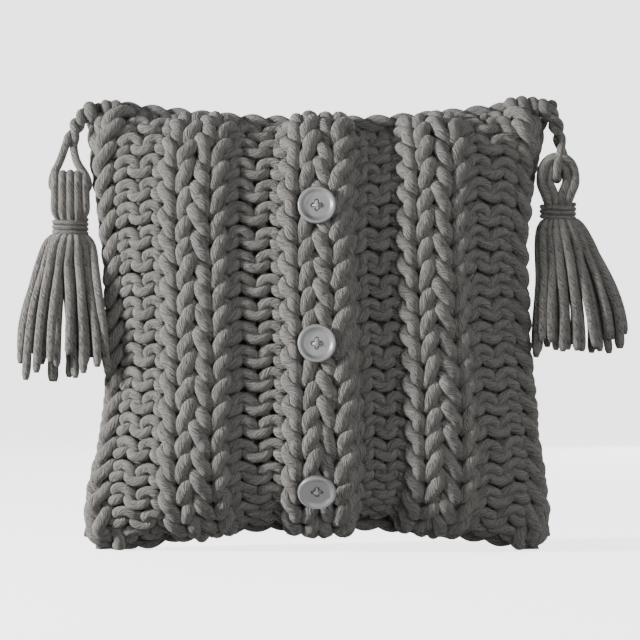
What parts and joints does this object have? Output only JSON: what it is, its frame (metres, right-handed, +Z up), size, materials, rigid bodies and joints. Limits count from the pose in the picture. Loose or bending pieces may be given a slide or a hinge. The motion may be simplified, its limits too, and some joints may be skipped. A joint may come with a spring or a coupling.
{
  "type": "throw pillow",
  "caption": "Square throw pillow in a chunky rib-knit cover with a buttoned front placket, a tassel at each upper corner and a filled insert inside.",
  "frame": {"origin": "under the middle of the object's box, on the surface that the two lower corners stand on", "axes": "+Z up, -Y out of the buttoned front, +X to the right of a viewer who faces the buttons"},
  "size_m": [0.6059, 0.2133, 0.4466],
  "materials": {
    "cover_yarn": "matte chunky knitted yarn",
    "seam_yarn": "matte yarn",
    "ticking": "matte tightly woven cotton",
    "filling": "matte loose fibre",
    "button": "satin",
    "button_thread": "slightly glossy twisted thread",
    "tassel_yarn": "matte twisted yarn"
  },
  "bodies": {
    "pillow": {"cover_left_front": "cover_yarn", "cover_right_front": "cover_yarn", "cover_back": "cover_yarn", "top_seam": "seam_yarn", "bottom_seam": "seam_yarn", "left_side_seam": "seam_yarn", "right_side_seam": "seam_yarn", "insert_front": "ticking", "insert_back": "ticking", "insert_filling": "filling"},
    "top_button": {"top_button": "button", "top_button_thread": "button_thread"},
    "middle_button": {"middle_button": "button", "middle_button_thread": "button_thread"},
    "bottom_button": {"bottom_button": "button", "bottom_button_thread": "button_thread"},
    "left_hanger": {"left_tassel_hanger": "tassel_yarn"},
    "left_tassel": {"left_tassel_head": "tassel_yarn", "left_tassel_wrap": "tassel_yarn", "left_tassel_skirt": "tassel_yarn"},
    "right_hanger": {"right_tassel_hanger": "tassel_yarn"},
    "right_tassel": {"right_tassel_head": "tassel_yarn", "right_tassel_wrap": "tassel_yarn", "right_tassel_skirt": "tassel_yarn"}
  },
  "joints": [
    {"name": "top_button_turn", "type": "hinge", "parent": "pillow", "child": "top_button", "pos_m": [-0.002, -0.09014, 0.34256], "axis": [0, -0.9848, 0.1736], "range_deg": [-25, 25], "stiffness_Nm_per_rad": 0.01},
    {"name": "middle_button_turn", "type": "hinge", "parent": "pillow", "child": "middle_button", "pos_m": [-0.002, -0.10126, 0.20711], "axis": [0, -0.9994, 0.0349], "range_deg": [-25, 25], "stiffness_Nm_per_rad": 0.01},
    {"name": "bottom_button_turn", "type": "hinge", "parent": "pillow", "child": "bottom_button", "pos_m": [-0.002, -0.09042, 0.0623], "axis": [0, -0.848, -0.5299], "range_deg": [-25, 25], "stiffness_Nm_per_rad": 0.01},
    {"name": "left_hanger_swing", "type": "hinge", "parent": "pillow", "child": "left_hanger", "pos_m": [-0.239, -0.003, 0.434], "axis": [0, 1, 0], "range_deg": [0, 75]},
    {"name": "left_tassel_swing", "type": "hinge", "parent": "left_hanger", "child": "left_tassel", "pos_m": [-0.248, -0.014, 0.355], "axis": [1, 0, 0], "range_deg": [-70, 0]},
    {"name": "right_hanger_swing", "type": "hinge", "parent": "pillow", "child": "right_hanger", "pos_m": [0.2395, -0.002, 0.437], "axis": [1, 0, 0], "range_deg": [-60, 0]},
    {"name": "right_tassel_swing", "type": "hinge", "parent": "right_hanger", "child": "right_tassel", "pos_m": [0.238, -0.019, 0.37], "axis": [0, 1, 0], "range_deg": [-40, 0]}
  ]
}
